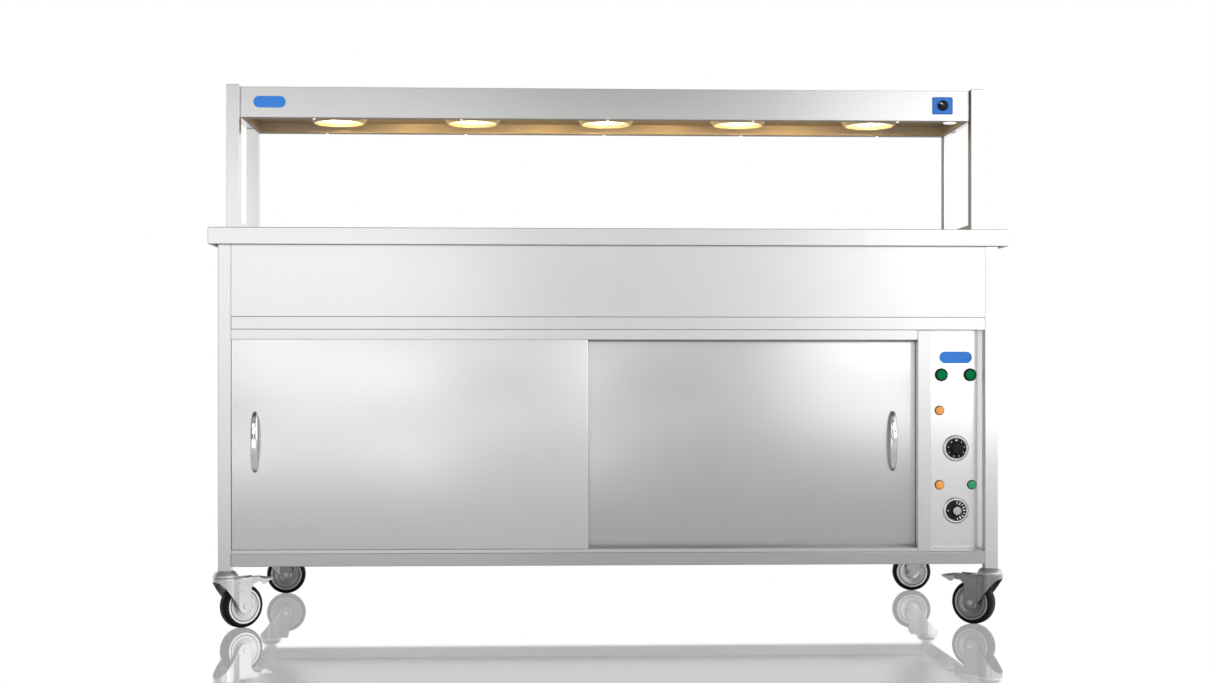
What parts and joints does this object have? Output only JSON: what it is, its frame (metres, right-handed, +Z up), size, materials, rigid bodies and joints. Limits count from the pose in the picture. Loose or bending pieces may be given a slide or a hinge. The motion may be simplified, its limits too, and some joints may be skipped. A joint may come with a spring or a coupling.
{
  "type": "steam table unit",
  "caption": "Mobile hot cupboard with a bain-marie top, sliding doors, recessed control column, braked castors and a heat-lamp gantry.",
  "frame": {"origin": "on the floor under the middle of the worktop", "axes": "+Z up, +X to the right of an operator who faces the doors, doors and controls facing -Y"},
  "size_m": [1.8, 0.7, 1.252],
  "materials": {
    "stainless_frame": "fine brushed, semi-matt",
    "stainless_panel": "fine brushed, semi-matt",
    "stainless_inside": "mill finish",
    "stainless_door": "fine brushed, semi-matt",
    "chrome_handle": "polished",
    "stainless_worktop": "fine brushed, semi-matt",
    "heating_tube": "dull oxidised",
    "stainless_gantry": "fine brushed, semi-matt",
    "lamp_lens": "frosted, lit warm",
    "blue_label": "satin print",
    "black_knob": "moulded",
    "chrome_bezel": "polished",
    "green_button": "moulded",
    "orange_lens": "translucent moulded",
    "green_lens": "translucent moulded",
    "zinc_castor": "bright zinc plate",
    "wheel_rubber": "matt",
    "brake_pedal_zinc": "bright zinc plate"
  },
  "bodies": {
    "cabinet": {"bain_marie_tank": "stainless_inside", "castor_front_left_head": "zinc_castor", "castor_front_right_head": "zinc_castor", "castor_rear_left_head": "zinc_castor", "castor_rear_right_head": "zinc_castor", "control_panel": "stainless_panel", "control_partition": "stainless_inside", "cupboard_ceiling": "stainless_inside", "cupboard_floor": "stainless_inside", "cupboard_shelf": "stainless_inside", "divider_post": "stainless_frame", "door_track_bottom": "stainless_panel", "door_track_top": "stainless_panel", "gantry_canopy": "stainless_gantry", "gantry_frame_left": "stainless_gantry", "gantry_frame_right": "stainless_gantry", "gantry_knob_plate": "blue_label", "gantry_lamp_plate": "stainless_inside", "heat_lamp_1": "lamp_lens", "heat_lamp_2": "lamp_lens", "heat_lamp_3": "lamp_lens", "heat_lamp_4": "lamp_lens", "heat_lamp_5": "lamp_lens", "heating_element": "heating_tube", "indicator_lower_left": "orange_lens", "indicator_lower_right": "green_lens", "indicator_upper": "orange_lens", "knob_bezel_lower": "chrome_bezel", "knob_bezel_upper": "chrome_bezel", "post_front_left": "stainless_frame", "post_front_right": "stainless_frame", "post_rear_left": "stainless_frame", "post_rear_right": "stainless_frame", "rail_bottom_front": "stainless_frame", "rail_bottom_rear": "stainless_frame", "rail_mid_front": "stainless_frame", "rear_panel": "stainless_panel", "side_panel_left": "stainless_panel", "side_panel_right": "stainless_panel", "upper_front_panel": "stainless_panel", "worktop": "stainless_worktop"},
    "door_left": {"door_left": "stainless_door", "door_left_handle": "chrome_handle"},
    "door_right": {"door_right": "stainless_door", "door_right_handle": "chrome_handle"},
    "knob_upper": {"knob_upper": "black_knob"},
    "knob_lower": {"knob_lower": "black_knob"},
    "gantry_knob": {"gantry_knob": "black_knob"},
    "push_button_left": {"push_button_left": "green_button"},
    "push_button_right": {"push_button_right": "green_button"},
    "castor_front_left_fork": {"castor_front_left_fork": "zinc_castor"},
    "castor_front_left_wheel": {"castor_front_left_wheel": "wheel_rubber"},
    "castor_front_left_brake_pedal": {"castor_front_left_brake_pedal": "brake_pedal_zinc"},
    "castor_front_right_fork": {"castor_front_right_fork": "zinc_castor"},
    "castor_front_right_wheel": {"castor_front_right_wheel": "wheel_rubber"},
    "castor_front_right_brake_pedal": {"castor_front_right_brake_pedal": "brake_pedal_zinc"},
    "castor_rear_left_fork": {"castor_rear_left_fork": "zinc_castor"},
    "castor_rear_left_wheel": {"castor_rear_left_wheel": "wheel_rubber"},
    "castor_rear_right_fork": {"castor_rear_right_fork": "zinc_castor"},
    "castor_rear_right_wheel": {"castor_rear_right_wheel": "wheel_rubber"}
  },
  "joints": [
    {"name": "door_left_slide", "type": "slide", "parent": "cabinet", "child": "door_left", "axis": [1, 0, 0], "range_m": [0, 0.684]},
    {"name": "door_right_slide", "type": "slide", "parent": "cabinet", "child": "door_right", "axis": [1, 0, 0], "range_m": [-0.684, 0]},
    {"name": "knob_upper_turn", "type": "hinge", "parent": "cabinet", "child": "knob_upper", "pos_m": [0.795, -0.286, 0.402], "axis": [0, 1, 0], "range_deg": [0, 270]},
    {"name": "knob_lower_turn", "type": "hinge", "parent": "cabinet", "child": "knob_lower", "pos_m": [0.795, -0.286, 0.259], "axis": [0, 1, 0], "range_deg": [0, 270]},
    {"name": "gantry_knob_turn", "type": "hinge", "parent": "cabinet", "child": "gantry_knob", "pos_m": [0.7995, -0.1401, 1.2135], "axis": [0, 1, 0], "range_deg": [0, 270]},
    {"name": "push_button_left_press", "type": "slide", "parent": "cabinet", "child": "push_button_left", "axis": [0, 1, 0], "range_m": [0, 0.003], "stiffness_N_per_m": 400},
    {"name": "push_button_right_press", "type": "slide", "parent": "cabinet", "child": "push_button_right", "axis": [0, 1, 0], "range_m": [0, 0.003], "stiffness_N_per_m": 400},
    {"name": "castor_front_left_swivel", "type": "hinge", "parent": "cabinet", "child": "castor_front_left_fork", "pos_m": [-0.8655, -0.3215, 0.112], "axis": [0, 0, 1], "continuous": true},
    {"name": "castor_front_left_roll", "type": "hinge", "parent": "castor_front_left_fork", "child": "castor_front_left_wheel", "pos_m": [-0.83486, -0.29579, 0.05], "axis": [-0.6428, 0.766, 0], "continuous": true},
    {"name": "castor_front_left_brake", "type": "hinge", "parent": "castor_front_left_fork", "child": "castor_front_left_brake_pedal", "pos_m": [-0.8249, -0.28743, 0.1085], "axis": [-0.6428, 0.766, 0], "range_deg": [0, 15]},
    {"name": "castor_front_right_swivel", "type": "hinge", "parent": "cabinet", "child": "castor_front_right_fork", "pos_m": [0.8655, -0.3215, 0.112], "axis": [0, 0, 1], "continuous": true},
    {"name": "castor_front_right_roll", "type": "hinge", "parent": "castor_front_right_fork", "child": "castor_front_right_wheel", "pos_m": [0.83398, -0.29687, 0.05], "axis": [-0.6157, -0.788, 0], "continuous": true},
    {"name": "castor_front_right_brake", "type": "hinge", "parent": "castor_front_right_fork", "child": "castor_front_right_brake_pedal", "pos_m": [0.82373, -0.28887, 0.1085], "axis": [-0.6157, -0.788, 0], "range_deg": [0, 15]},
    {"name": "castor_rear_left_swivel", "type": "hinge", "parent": "cabinet", "child": "castor_rear_left_fork", "pos_m": [-0.8655, 0.3215, 0.112], "axis": [0, 0, 1], "continuous": true},
    {"name": "castor_rear_left_roll", "type": "hinge", "parent": "castor_rear_left_fork", "child": "castor_rear_left_wheel", "pos_m": [-0.82572, 0.32568, 0.05], "axis": [-0.1045, 0.9945, 0], "continuous": true},
    {"name": "castor_rear_right_swivel", "type": "hinge", "parent": "cabinet", "child": "castor_rear_right_fork", "pos_m": [0.8655, 0.3215, 0.112], "axis": [0, 0, 1], "continuous": true},
    {"name": "castor_rear_right_roll", "type": "hinge", "parent": "castor_rear_right_fork", "child": "castor_rear_right_wheel", "pos_m": [0.82572, 0.32568, 0.05], "axis": [-0.1045, -0.9945, 0], "continuous": true}
  ]
}
